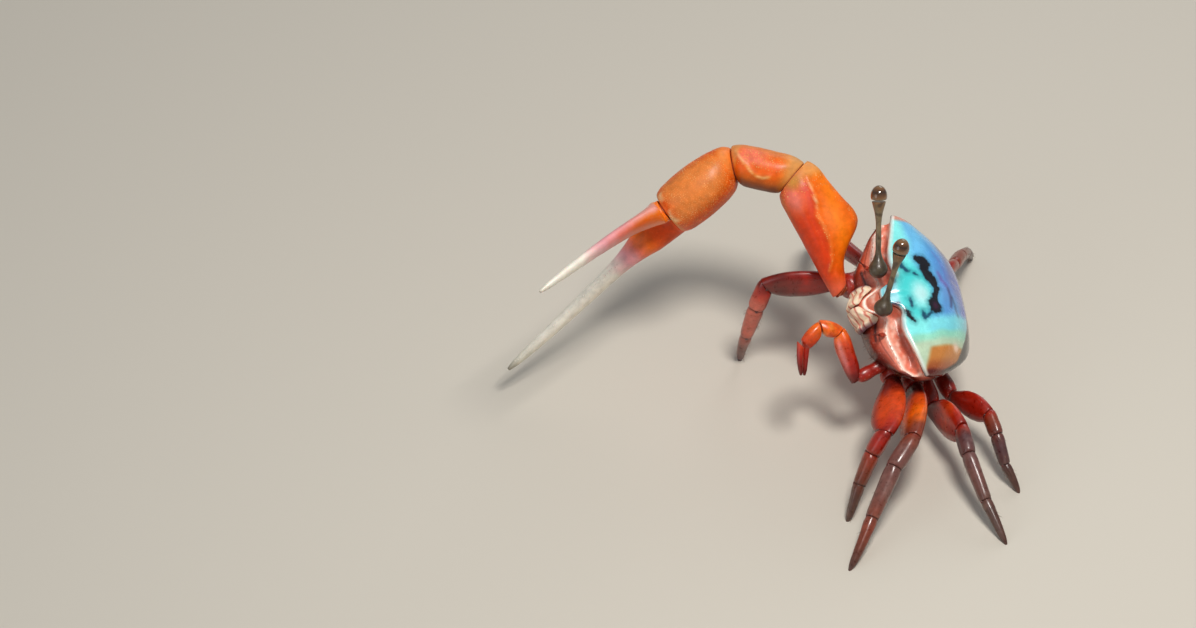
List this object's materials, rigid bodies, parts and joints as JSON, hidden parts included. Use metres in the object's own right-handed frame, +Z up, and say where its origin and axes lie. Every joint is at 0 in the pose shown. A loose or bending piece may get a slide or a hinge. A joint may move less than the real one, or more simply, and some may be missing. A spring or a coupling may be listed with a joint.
{
  "type": "fiddler crab model",
  "caption": "Life-size still model of a male fiddler crab with a blue shell and one huge orange claw held out in front.",
  "frame": {"origin": "middle of the model's bounding box in plan, at floor level", "axes": "+Z up, the crab faces -X, its left side is towards -Y"},
  "size_m": [0.0726, 0.0718, 0.0345],
  "materials": {
    "carapace_blue": "glossy painted, blue-green shading to violet with dark markings",
    "body_coral": "satin painted",
    "claw_orange": "satin painted, finely pebbled",
    "finger_pale": "smooth painted, pink shading to white",
    "limb_red": "glossy painted",
    "limb_brown": "glossy painted",
    "stalk_olive": "satin painted",
    "eye_dark": "highly polished",
    "mouth_cream": "satin painted"
  },
  "bodies": {
    "root": {"carapace": "carapace_blue", "body": "body_coral", "abdomen": "body_coral", "maxilliped_left": "mouth_cream", "antenna_left": "mouth_cream", "eyestalk_left": "stalk_olive", "eye_left": "eye_dark", "maxilliped_right": "mouth_cream", "antenna_right": "mouth_cream", "eyestalk_right": "stalk_olive", "eye_right": "eye_dark", "major_merus": "claw_orange", "major_carpus": "claw_orange", "major_palm": "claw_orange", "major_finger": "finger_pale", "minor_merus": "limb_red", "minor_carpus": "limb_red", "minor_palm": "limb_red", "minor_finger": "limb_red", "leg_left_1_merus": "limb_red", "leg_left_1_carpus": "limb_brown", "leg_left_1_propodus": "limb_brown", "leg_left_1_dactyl": "limb_brown", "leg_left_2_merus": "limb_red", "leg_left_2_carpus": "limb_brown", "leg_left_2_propodus": "limb_brown", "leg_left_2_dactyl": "limb_brown", "leg_left_3_merus": "limb_red", "leg_left_3_carpus": "limb_brown", "leg_left_3_propodus": "limb_brown", "leg_left_3_dactyl": "limb_brown", "leg_left_4_merus": "limb_red", "leg_left_4_carpus": "limb_brown", "leg_left_4_propodus": "limb_brown", "leg_left_4_dactyl": "limb_brown", "leg_right_1_merus": "limb_red", "leg_right_1_carpus": "limb_brown", "leg_right_1_propodus": "limb_brown", "leg_right_1_dactyl": "limb_brown", "leg_right_2_merus": "limb_red", "leg_right_2_carpus": "limb_brown", "leg_right_2_propodus": "limb_brown", "leg_right_2_dactyl": "limb_brown", "leg_right_3_merus": "limb_red", "leg_right_3_carpus": "limb_brown", "leg_right_3_propodus": "limb_brown", "leg_right_3_dactyl": "limb_brown", "leg_right_4_merus": "limb_red", "leg_right_4_carpus": "limb_brown", "leg_right_4_propodus": "limb_brown", "leg_right_4_dactyl": "limb_brown"}
  },
  "joints": []
}
